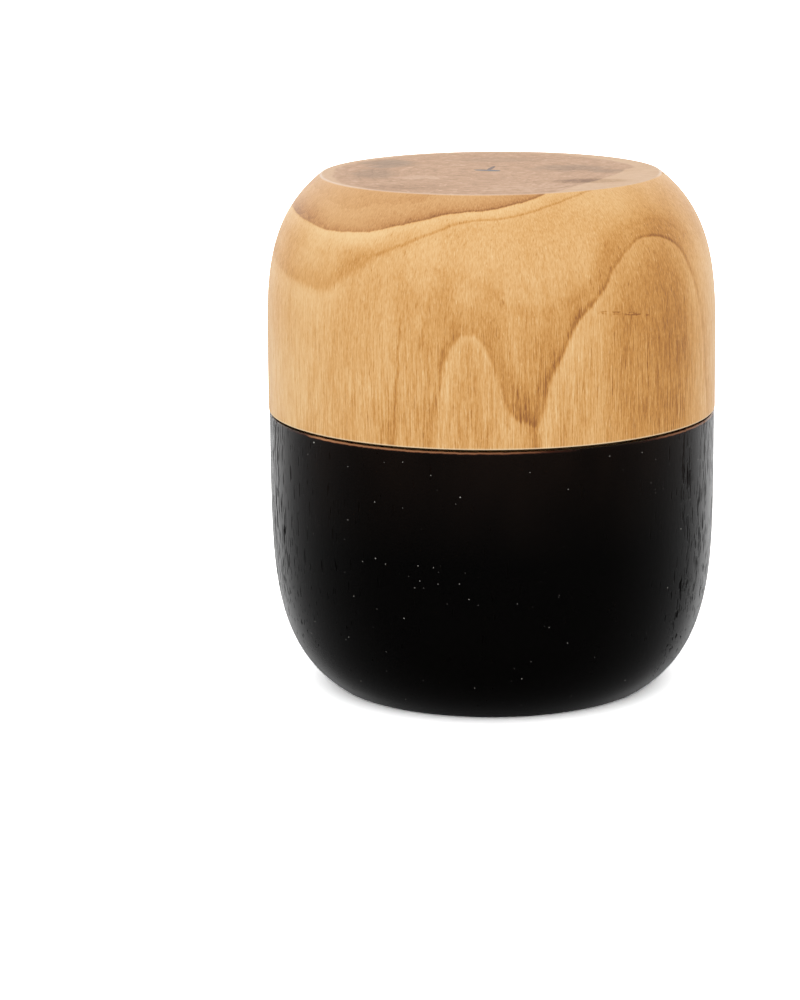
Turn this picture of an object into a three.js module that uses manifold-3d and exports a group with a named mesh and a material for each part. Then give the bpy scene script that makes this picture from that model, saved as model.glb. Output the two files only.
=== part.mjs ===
// A turned wooden double bowl: two deep bowls that close rim to rim, the upper one turned over as a lid.
// Millimetres, +Z up along the turning axis, origin at the middle of the base.
import * as THREE from "three";
import { mergeVertices } from "three/addons/utils/BufferGeometryUtils.js";
import Module from "manifold-3d";

// Driving dimensions of the pair
const diameter = 200;
const rimWall = 10;
const rimGap = 1.1;             // dark line left open between the two outer rims

// Lower bowl, blackened outside
const lowerHeight = 124;
const lowerSetIn = 0.3;         // its side stands this much inside the upper bowl's side
const lowerFootDiameter = 144;
const lowerFloor = 14;
const lowerArris = 0.8;
const lowerShoulder = { band: 0, rise: 4.66, turn: 3.05 };

// Upper bowl, natural wood, standing on its rim
const upperHeight = 104.7;
const upperFootDiameter = 150.6;
const upperFloor = 14;
const upperArris = 0.4;
const upperShoulder = { band: 20, rise: 3.68, turn: 2.28 };

// Hollow of either bowl: how late and how roundly its side turns into its floor
const hollowCorner = { rise: 9, turn: 2.4, start: 0.6 };

// Lip of the lower bowl that centres the upper bowl in a rebate
const lipHeight = 6;
const lipThickness = 5;
const lipArris = 0.6;
const lipRunningClearance = 0.4;
const lipSeatClearance = 0.3;

// Filling of the pith check in the foot of the upper bowl
const pithPlace = new THREE.Vector2(-1.2, 6);
const pithDepth = 5;
const pithClearance = 0.3;
const pithArms = [
  { angle: 160, length: 6.4, width: 4 },
  { angle: 340, length: 6, width: 4.4 },
  { angle: 78, length: 15, width: 2 },
];

// Fineness of the faces
const turnSteps = 80;
const outsideSteps = 13;
const sideSteps = 4;
const cornerSteps = 9;
const pithArmSteps = 24;
const weldDistance = 1e-4;

const lowerRimTop = lowerHeight;
const upperRimBottom = lowerRimTop + rimGap;
const top = upperRimBottom + upperHeight;
const lipTop = lowerRimTop + lipHeight;
const lipRadius = diameter / 2 - rimWall + lipThickness;
const hollowRadius = diameter / 2 - rimWall;

const wasm = await Module();
wasm.setup();

// Radius of the outside at a distance from the rim: a straight band, then a superellipse cut off by the foot
function outsideRadius(fromRim, bowl) {
  const { radius, height, footRadius, shoulder } = bowl;
  const footDrop = 1 - (footRadius / radius) ** shoulder.turn;
  const reach = (height - shoulder.band) / footDrop ** (1 / shoulder.rise);
  const share = Math.max(0, fromRim - shoulder.band) / reach;
  return radius * (1 - share ** shoulder.rise) ** (1 / shoulder.turn);
}

// Points [radius, distance from the rim] down the outside, closer together towards the foot
function outsideCurve(bowl) {
  const points = [];
  for (let step = 0; step <= outsideSteps; step += 1) {
    const share = Math.sin((Math.PI / 2) * (step / outsideSteps));
    const fromRim = bowl.arris + (bowl.height - bowl.arris) * share;
    points.push([outsideRadius(fromRim, bowl), fromRim]);
  }
  return points;
}

// Points [radius, distance from the rim] down the hollow, from where it starts to the middle of its floor
function hollowCurve(bowl) {
  const { rise, turn, start } = hollowCorner;
  const depth = bowl.height - bowl.floor;
  const shares = [];
  for (let step = 0; step <= sideSteps; step += 1) {
    shares.push((start * step) / sideSteps);
  }
  const startTurn = Math.asin(start ** (rise / 2));
  for (let step = 1; step <= cornerSteps; step += 1) {
    const angle = startTurn + (Math.PI / 2 - startTurn) * (step / cornerSteps);
    shares.push(Math.sin(angle) ** (2 / rise));
  }
  return shares.map((share, index) => {
    const fromRim = bowl.hollowStart + (depth - bowl.hollowStart) * share;
    const side = outsideRadius(fromRim, bowl) - (bowl.radius - hollowRadius);
    const closing = index === shares.length - 1 ? 0 : (1 - share ** rise) ** (1 / turn);
    return [side * closing, fromRim];
  });
}

function turned(profile) {
  const points = profile.map(([radius, height]) => new THREE.Vector2(radius, height));
  return new THREE.LatheGeometry(points, turnSteps).rotateX(Math.PI / 2);
}

function solidOf(geometry) {
  const bare = geometry.clone();
  bare.deleteAttribute("normal");
  bare.deleteAttribute("uv");
  const merged = mergeVertices(bare, weldDistance);
  const triangles = [];
  for (let at = 0; at < merged.index.count; at += 3) {
    const [a, b, c] = [0, 1, 2].map((corner) => merged.index.getX(at + corner));
    if (a !== b && b !== c && c !== a) triangles.push(a, b, c);
  }
  return new wasm.Manifold(new wasm.Mesh({
    numProp: 3,
    vertProperties: new Float32Array(merged.attributes.position.array),
    triVerts: new Uint32Array(triangles),
  }));
}

function geometryOf(solid) {
  const mesh = solid.getMesh();
  const geometry = new THREE.BufferGeometry();
  geometry.setAttribute("position", new THREE.BufferAttribute(mesh.vertProperties, 3));
  geometry.setIndex(new THREE.BufferAttribute(mesh.triVerts, 1));
  geometry.computeVertexNormals();
  return geometry;
}

// The lower bowl: foot, outside, rim, lip, hollow
function lowerBowlGeometry() {
  const bowl = {
    radius: diameter / 2 - lowerSetIn,
    height: lowerHeight,
    footRadius: lowerFootDiameter / 2,
    floor: lowerFloor,
    arris: lowerArris,
    shoulder: lowerShoulder,
    hollowStart: lowerArris,
  };
  const rim = [
    [bowl.radius - lowerArris, lowerRimTop],
    [lipRadius, lowerRimTop],
    [lipRadius, lipTop - lipArris],
    [lipRadius - lipArris, lipTop],
    [hollowRadius + lipArris, lipTop],
    [hollowRadius, lipTop - lipArris],
  ];
  return turned([
    [0, 0],
    ...outsideCurve(bowl).reverse().map(([radius, fromRim]) => [radius, lowerRimTop - fromRim]),
    ...rim,
    ...hollowCurve(bowl).map(([radius, fromRim]) => [radius, lowerRimTop - fromRim]),
  ]);
}

// The upper bowl: hollow, rebate, rim, outside, foot
function upperBowlGeometry() {
  const rebateRadius = lipRadius + lipRunningClearance;
  const rebateDepth = lipTop + lipSeatClearance - upperRimBottom;
  const bowl = {
    radius: diameter / 2,
    height: upperHeight,
    footRadius: upperFootDiameter / 2,
    floor: upperFloor,
    arris: upperArris,
    shoulder: upperShoulder,
    hollowStart: rebateDepth + lipArris,
  };
  const rim = [
    [hollowRadius + lipArris, upperRimBottom + rebateDepth],
    [rebateRadius, upperRimBottom + rebateDepth],
    [rebateRadius, upperRimBottom + upperArris],
    [rebateRadius + upperArris, upperRimBottom],
    [bowl.radius - upperArris, upperRimBottom],
  ];
  return turned([
    ...hollowCurve(bowl).reverse().map(([radius, fromRim]) => [radius, upperRimBottom + fromRim]),
    ...rim,
    ...outsideCurve(bowl).map(([radius, fromRim]) => [radius, upperRimBottom + fromRim]),
    [0, top],
  ]);
}

// The pith check: three narrow arms joined at the tree's centre, grown evenly by a distance
function pithPlug(grow, bottom, plugTop) {
  const arms = pithArms.map(({ angle, length, width }) => {
    const along = new THREE.Vector2(1, 0).rotateAround(new THREE.Vector2(), THREE.MathUtils.degToRad(angle));
    const middle = along.clone().multiplyScalar((length - width / 2) / 2).add(pithPlace);
    const halfLength = (length + width / 2) / 2 + grow;
    const arm = new THREE.Shape();
    arm.absellipse(middle.x, middle.y, halfLength, width / 2 + grow, 0, 2 * Math.PI, false, along.angle());
    const depth = plugTop - bottom;
    return solidOf(new THREE.ExtrudeGeometry(arm, { depth, bevelEnabled: false, curveSegments: pithArmSteps }));
  });
  return arms.reduce((plug, arm) => plug.add(arm)).translate([0, 0, bottom]);
}

function upperBowlWithPocket() {
  const pocketBottom = top - pithDepth - pithClearance;
  const pocket = pithPlug(pithClearance, pocketBottom, top + pithClearance);
  return geometryOf(solidOf(upperBowlGeometry()).subtract(pocket));
}

function named(name, geometry, material) {
  const mesh = new THREE.Mesh(geometry, material);
  mesh.name = name;
  return mesh;
}

const blackened = new THREE.MeshStandardMaterial({ color: 0x15100c, roughness: 0.45, metalness: 0 });
const naturalWood = new THREE.MeshStandardMaterial({ color: 0xe1b17f, roughness: 0.5, metalness: 0 });
const greyFilling = new THREE.MeshStandardMaterial({ color: 0x848a90, roughness: 0.4, metalness: 0 });

const upperBody = new THREE.Group();
upperBody.add(named("upper_bowl", upperBowlWithPocket(), naturalWood));
upperBody.add(named("pith_filling", geometryOf(pithPlug(0, top - pithDepth, top)), greyFilling));

const doubleBowl = new THREE.Group();
doubleBowl.add(named("lower_bowl", lowerBowlGeometry(), blackened));
doubleBowl.add(upperBody);

export default doubleBowl;
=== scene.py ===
import math

import bpy
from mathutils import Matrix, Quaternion, Vector


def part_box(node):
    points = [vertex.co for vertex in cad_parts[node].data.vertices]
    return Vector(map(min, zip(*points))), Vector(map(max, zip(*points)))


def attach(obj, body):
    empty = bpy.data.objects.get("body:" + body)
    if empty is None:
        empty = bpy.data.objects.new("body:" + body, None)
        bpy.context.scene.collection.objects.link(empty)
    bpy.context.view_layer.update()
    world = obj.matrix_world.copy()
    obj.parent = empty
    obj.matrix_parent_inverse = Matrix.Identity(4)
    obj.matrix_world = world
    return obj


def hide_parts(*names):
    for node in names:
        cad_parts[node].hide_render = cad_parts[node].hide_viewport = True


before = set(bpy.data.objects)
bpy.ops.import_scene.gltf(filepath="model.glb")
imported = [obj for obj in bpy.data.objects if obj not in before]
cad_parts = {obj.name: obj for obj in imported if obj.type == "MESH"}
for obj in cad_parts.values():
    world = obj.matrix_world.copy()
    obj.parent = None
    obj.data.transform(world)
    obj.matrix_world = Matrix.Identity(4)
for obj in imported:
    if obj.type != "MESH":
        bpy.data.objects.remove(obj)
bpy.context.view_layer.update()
bpy.context.scene.view_settings.view_transform = "Standard"
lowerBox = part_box("lower_bowl")
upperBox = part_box("upper_bowl")
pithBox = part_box("pith_filling")
print("frame loaded")


# Small helpers for modelling and for nodes

def selectVertices(piece, wanted):     # leaves the piece in edit mode with those vertices selected
    bpy.ops.object.mode_set(mode="EDIT")
    bpy.ops.mesh.select_mode(type="VERT")
    bpy.ops.mesh.select_all(action="DESELECT")
    bpy.ops.object.mode_set(mode="OBJECT")
    for vertex in piece.data.vertices:
        vertex.select = wanted(vertex.co)
    bpy.ops.object.mode_set(mode="EDIT")


def fromScreen(red, green, blue):      # a colour as a picture shows it, made linear for the nodes
    shares = [channel / 255 for channel in (red, green, blue)]
    return [s / 12.92 if s <= 0.04045 else ((s + 0.055) / 1.055) ** 2.4 for s in shares] + [1.0]


def colourStops(stops):                # stops are (position, colour as a picture shows it)
    return [(position, fromScreen(*colour)) for position, colour in stops]


def feed(tree, socket, value):         # value is a number, a colour, a vector or another node's output
    if isinstance(value, bpy.types.NodeSocket):
        tree.links.new(value, socket)
    else:
        socket.default_value = value


def calc(tree, operation, *values):
    node = tree.nodes.new("ShaderNodeMath")
    node.operation = operation
    for socket, value in zip(node.inputs, values):
        feed(tree, socket, value)
    return node.outputs[0]


def plus(tree, first, second):
    return calc(tree, "ADD", first, second)


def minus(tree, first, second):
    return calc(tree, "SUBTRACT", first, second)


def times(tree, first, second):
    return calc(tree, "MULTIPLY", first, second)


def timesPlus(tree, first, second, third):         # first times second, plus third
    return calc(tree, "MULTIPLY_ADD", first, second, third)


def remap(tree, value, low, high, toLow=0.0, toHigh=1.0, smooth=False):
    node = tree.nodes.new("ShaderNodeMapRange")
    node.interpolation_type = "SMOOTHSTEP" if smooth else "LINEAR"
    for socket, number in zip(node.inputs[:5], (value, low, high, toLow, toHigh)):
        feed(tree, socket, number)
    return node.outputs[0]


def mixColour(tree, factor, first, second, mode="MIX"):
    node = tree.nodes.new("ShaderNodeMix")
    node.data_type = "RGBA"
    node.blend_type = mode
    feed(tree, node.inputs[0], factor)
    feed(tree, node.inputs[6], first)
    feed(tree, node.inputs[7], second)
    return node.outputs[2]


def ramp(tree, value, stops):          # stops are (position, colour)
    node = tree.nodes.new("ShaderNodeValToRGB")
    elements = node.color_ramp.elements
    while len(elements) < len(stops):
        elements.new(1.0)
    for element, (position, colour) in zip(elements, stops):
        element.position = position
        element.color = colour
    feed(tree, node.inputs[0], value)
    return node.outputs[0]


def curve(tree, value, points):        # points are (0 to 1, 0 to 1)
    node = tree.nodes.new("ShaderNodeFloatCurve")
    line = node.mapping.curves[0]
    while len(line.points) < len(points):
        line.points.new(1.0, 1.0)
    for knot, place in zip(line.points, points):
        knot.location = place
        knot.handle_type = "AUTO_CLAMPED"
    node.mapping.update()
    feed(tree, node.inputs["Value"], value)
    return node.outputs[0]


def mapped(tree, coords, scale=(1, 1, 1), place=(0, 0, 0), turned=0.0):
    node = tree.nodes.new("ShaderNodeMapping")
    node.inputs["Scale"].default_value = scale
    node.inputs["Location"].default_value = place
    node.inputs["Rotation"].default_value = (0, 0, math.radians(turned))
    feed(tree, node.inputs["Vector"], coords)
    return node.outputs[0]


def noise(tree, coords, size, stretch=1.0, detail=2.0, rough=0.5, place=(0, 0, 0)):
    # size is a blob's width in metres, stretch how many times longer it is up the trunk
    blob = (1 / size, 1 / size, 1 / size / stretch)
    node = tree.nodes.new("ShaderNodeTexNoise")
    node.inputs["Scale"].default_value = 1.0
    node.inputs["Detail"].default_value = detail
    node.inputs["Roughness"].default_value = rough
    feed(tree, node.inputs["Vector"], mapped(tree, coords, blob, place))
    return node.outputs["Fac"]


def ripple(tree, coords, pattern):     # the same, but about zero
    return minus(tree, noise(tree, coords, *pattern), 0.5)


def cells(tree, coords, size):         # distance to the middle of a random cell, and its three random shares
    node = tree.nodes.new("ShaderNodeTexVoronoi")
    node.inputs["Scale"].default_value = 1.0
    feed(tree, node.inputs["Vector"], mapped(tree, coords, [1 / length for length in size]))
    split = tree.nodes.new("ShaderNodeSeparateColor")
    feed(tree, split.inputs[0], node.outputs["Color"])
    return node.outputs["Distance"], split.outputs


def objectCoords(tree):
    return tree.nodes.new("ShaderNodeTexCoord").outputs["Object"]


def splitVector(tree, vector):
    node = tree.nodes.new("ShaderNodeSeparateXYZ")
    feed(tree, node.inputs[0], vector)
    return node.outputs


def lengthOf(tree, first, second):     # of the flat vector with these two sides
    return calc(tree, "SQRT", timesPlus(tree, first, first, times(tree, second, second)))


def addBump(tree, shader, height, bump, sockets=("Normal",)):      # bump is (strength, distance)
    node = tree.nodes.new("ShaderNodeBump")
    node.inputs["Strength"].default_value = bump[0]
    node.inputs["Distance"].default_value = bump[1]
    feed(tree, node.inputs["Height"], height)
    for socket in sockets:
        feed(tree, shader.inputs[socket], node.outputs[0])


def newMaterial(name):
    material = bpy.data.materials.new(name)
    material.use_nodes = True
    tree = material.node_tree
    shader = next(node for node in tree.nodes if node.type == "BSDF_PRINCIPLED")
    return material, tree, shader


# The turned shapes: the outside is a straight band and then a superellipse cut off by the foot

joint = {
    "wall": 0.010,
    "lipHeight": 0.006,
    "lipRadius": 0.095,
    "lipRoot": 0.0003,
    "lipArris": 0.0006,
    "lipInnerArris": 0.0012,
    "runningClearance": 0.0004,
    "seatClearance": 0.0003,
    "rebateRoot": 0.0003,
    "rebateArris": 0.0005,
    "rebateInnerArris": 0.0010,
}
lathe = {
    "seed": 0.001,                     # side of the plane that is merged into the first vertex
    "steps": 288,
    "outsideSteps": 56,
    "hollowSteps": 60,
    "cornerSegments": 5,
    "cornerFound": 1e-5,               # a vertex this near to a corner's place is that corner
    "weld": 1e-6,
    "smoothBelow": 35,                 # degrees
}
hollow = {
    "rise": 9,
    "turn": 2.4,
    "start": 0.001,                    # how far past the rim or the rebate its curve starts
    "crowding": 0.45,                  # below 1, its points crowd towards the floor
}
lowerBowl = {
    "rimRadius": lowerBox[1].x,
    "rimTop": lowerBox[1].z - joint["lipHeight"],
    "height": lowerBox[1].z - joint["lipHeight"],
    "footRadius": 0.072,
    "footRings": (0.02, 0.045),
    "floor": 0.014,
    "band": 0.0,
    "rise": 4.66,
    "turn": 3.05,
    "arris": 0.0008,
    "footRound": 0.0012,
}
upperBowl = {
    "rimRadius": upperBox[1].x,
    "rimBottom": upperBox[0].z,
    "height": upperBox[1].z - upperBox[0].z,
    "footRadius": 0.0753,
    "footRings": (0.06, 0.04, 0.02),
    "floor": 0.014,
    "band": 0.020,
    "rise": 3.68,
    "turn": 2.28,
    "arris": 0.0004,
    "footRound": 0.0040,
}


def outsideRadius(bowl, fromRim):
    footDrop = 1 - (bowl["footRadius"] / bowl["rimRadius"]) ** bowl["turn"]
    reach = (bowl["height"] - bowl["band"]) / footDrop ** (1 / bowl["rise"])
    share = max(0.0, fromRim - bowl["band"]) / reach
    return bowl["rimRadius"] * (1 - share ** bowl["rise"]) ** (1 / bowl["turn"])


def outsideCurve(bowl):                # points (radius, distance from the rim)
    points = []
    for step in range(lathe["outsideSteps"] + 1):
        fromRim = bowl["height"] * math.sin(math.pi / 2 * step / lathe["outsideSteps"])
        points.append((outsideRadius(bowl, fromRim), fromRim))
    return points


def hollowCurve(bowl, start):
    depth = bowl["height"] - bowl["floor"]
    points = []
    for step in range(lathe["hollowSteps"] + 1):
        share = math.sin(math.pi / 2 * step / lathe["hollowSteps"]) ** hollow["crowding"]
        fromRim = start + (depth - start) * share
        closing = max(0.0, 1 - share ** hollow["rise"]) ** (1 / hollow["turn"])
        points.append(((outsideRadius(bowl, fromRim) - joint["wall"]) * closing, fromRim))
    return points


def turnOnLathe(name, profile, corners):
    # one vertex is extruded from point to point, its corners are rounded, and the line is spun round the axis
    radius, height = profile[0]
    bpy.ops.object.select_all(action="DESELECT")
    bpy.ops.mesh.primitive_plane_add(size=lathe["seed"], location=(radius, 0, height))
    piece = bpy.context.object
    piece.name = name
    bpy.ops.object.transform_apply(location=True, rotation=False, scale=False)
    bpy.ops.object.mode_set(mode="EDIT")
    bpy.ops.mesh.select_all(action="SELECT")
    bpy.ops.mesh.merge(type="CENTER")
    for nextRadius, nextHeight in profile[1:]:
        move = (nextRadius - radius, 0, nextHeight - height)
        bpy.ops.mesh.extrude_vertices_move(TRANSFORM_OT_translate={"value": move})
        radius, height = nextRadius, nextHeight
    for corner, size in corners:
        place = Vector((corner[0], 0, corner[1]))
        selectVertices(piece, lambda spot: (spot - place).length < lathe["cornerFound"])
        bpy.ops.mesh.bevel(offset=size, segments=lathe["cornerSegments"], affect="VERTICES", profile=0.5)
    bpy.ops.mesh.select_all(action="SELECT")
    bpy.ops.mesh.spin(steps=lathe["steps"], angle=2 * math.pi, center=(0, 0, 0), axis=(0, 0, 1))
    bpy.ops.mesh.select_all(action="SELECT")
    bpy.ops.mesh.remove_doubles(threshold=lathe["weld"])
    bpy.ops.mesh.normals_make_consistent(inside=False)
    bpy.ops.object.mode_set(mode="OBJECT")
    bpy.ops.object.shade_smooth_by_angle(angle=math.radians(lathe["smoothBelow"]))
    return piece


def makeLowerBowl():                   # foot, outside, rim, lip, hollow
    bowl = lowerBowl
    rimTop = bowl["rimTop"]
    lip = joint["lipRadius"]
    lipTop = rimTop + joint["lipHeight"]
    inner = upperBowl["rimRadius"] - joint["wall"]
    outside = [(radius, rimTop - fromRim) for radius, fromRim in outsideCurve(bowl)]
    inside = [(radius, rimTop - fromRim) for radius, fromRim in hollowCurve(bowl, hollow["start"])]
    profile = [(0, 0)] + [(ring, 0) for ring in bowl["footRings"]] + outside[::-1]
    profile += [(lip, rimTop), (lip, lipTop), (inner, lipTop)] + inside
    corners = [
        (outside[-1], bowl["footRound"]),
        (outside[0], bowl["arris"]),
        ((lip, rimTop), joint["lipRoot"]),
        ((lip, lipTop), joint["lipArris"]),
        ((inner, lipTop), joint["lipInnerArris"]),
    ]
    return turnOnLathe("lower_bowl_turned", profile, corners)


def makeUpperBowl():                   # hollow, rebate, rim, outside, foot
    bowl = upperBowl
    rim = bowl["rimBottom"]
    ceiling = lowerBox[1].z + joint["seatClearance"]
    rebate = joint["lipRadius"] + joint["runningClearance"]
    inner = bowl["rimRadius"] - joint["wall"]
    hollowStart = ceiling - rim + hollow["start"]
    outside = [(radius, rim + fromRim) for radius, fromRim in outsideCurve(bowl)]
    inside = [(radius, rim + fromRim) for radius, fromRim in hollowCurve(bowl, hollowStart)]
    profile = inside[::-1] + [(inner, ceiling), (rebate, ceiling), (rebate, rim)] + outside
    profile += [(ring, outside[-1][1]) for ring in bowl["footRings"] + (0,)]
    corners = [
        ((inner, ceiling), joint["rebateInnerArris"]),
        ((rebate, ceiling), joint["rebateRoot"]),
        ((rebate, rim), joint["rebateArris"]),
        (outside[0], bowl["arris"]),
        (outside[-1], bowl["footRound"]),
    ]
    return turnOnLathe("upper_bowl_turned", profile, corners)


# The filling of the pith check: three flat arms joined where the tree's centre was

pith = {
    "place": (-0.0012, 0.006),
    "arms": [
        {"angle": 160, "length": 0.0064, "width": 0.0040},
        {"angle": 340, "length": 0.0060, "width": 0.0044},
        {"angle": 78, "length": 0.0150, "width": 0.0020},
    ],
    "armPoints": 72,
    "seam": 0.00006,                   # how much wider its pocket is all round
    "overcut": 0.001,                  # how far the cut for the pocket passes the foot
    "grain": (0.0012, 1.0, 3.0),
    "greys": [(78, 80, 84), (118, 118, 118)],
    "greyFade": (0.35, 0.65),          # by noise, as the roughness is
    "roughness": (0.3, 0.7, 0.38, 0.50),
    "bump": (0.3, 0.0002),
    "crackColour": (120, 84, 62),
    "crack": (0.0010, 0.0028),         # metres back from the place, where the long arm turns brown
    "crackUneven": (0.0015,),
    "crackUnevenBy": 0.003,
}


def pithArm(arm, grow, bottom, top):
    angle = math.radians(arm["angle"])
    along = (arm["length"] - arm["width"] / 2) / 2
    halfLength = (arm["length"] + arm["width"] / 2) / 2 + grow
    place = (pith["place"][0] + along * math.cos(angle), pith["place"][1] + along * math.sin(angle), bottom)
    bpy.ops.object.select_all(action="DESELECT")
    bpy.ops.mesh.primitive_circle_add(vertices=pith["armPoints"], radius=1, fill_type="NGON", location=place)
    piece = bpy.context.object
    piece.scale = (halfLength, arm["width"] / 2 + grow, 1)
    piece.rotation_euler.z = angle
    bpy.ops.object.transform_apply(location=True, rotation=True, scale=True)
    bpy.ops.object.mode_set(mode="EDIT")
    bpy.ops.mesh.select_all(action="SELECT")
    bpy.ops.mesh.extrude_region_move(TRANSFORM_OT_translate={"value": (0, 0, top - bottom)})
    bpy.ops.mesh.select_all(action="SELECT")
    bpy.ops.mesh.normals_make_consistent(inside=False)
    bpy.ops.object.mode_set(mode="OBJECT")
    return piece


def applyBoolean(piece, operation, other):
    bpy.ops.object.select_all(action="DESELECT")
    piece.select_set(True)
    bpy.context.view_layer.objects.active = piece
    cut = piece.modifiers.new("cut", "BOOLEAN")
    cut.operation = operation
    cut.solver = "EXACT"
    cut.object = other
    bpy.ops.object.modifier_apply(modifier=cut.name)
    bpy.data.objects.remove(other)


def makePith(name, grow, bottom, top):
    arms = [pithArm(arm, grow, bottom, top) for arm in pith["arms"]]
    for other in arms[1:]:
        applyBoolean(arms[0], "UNION", other)
    arms[0].name = name
    return arms[0]


lower = makeLowerBowl()
print("lower bowl turned", len(lower.data.vertices))
upper = makeUpperBowl()
pocketSpan = (pithBox[0].z - pith["seam"], pithBox[1].z + pith["overcut"])
applyBoolean(upper, "DIFFERENCE", makePith("pocket", pith["seam"], *pocketSpan))
print("upper bowl turned", len(upper.data.vertices))
filling = makePith("pith_filling_sanded", 0.0, pithBox[0].z, pithBox[1].z)
print("pith filling made", len(filling.data.vertices))


# Natural wood. The growth rings are cones round the pith, so a place in the wood is told by its angle from
# the front and by its distance from the axis less the taper. Each ring line is drawn as it crosses the
# outside of the upper bowl: on the side as (degrees from the front, mm above the rim), on the foot as
# (degrees, mm from the axis). Its band is (mm above the line, how dark), its strengths (degrees, share).
# A noise is (width of a blob in metres, times longer up the trunk, detail, roughness, place), cut short
# where the rest is plain. A fade is (from, to, value at the first, value at the second), or only (from, to)
# where it goes from 0 to 1, by metres above the rim where nothing else is said.

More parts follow.
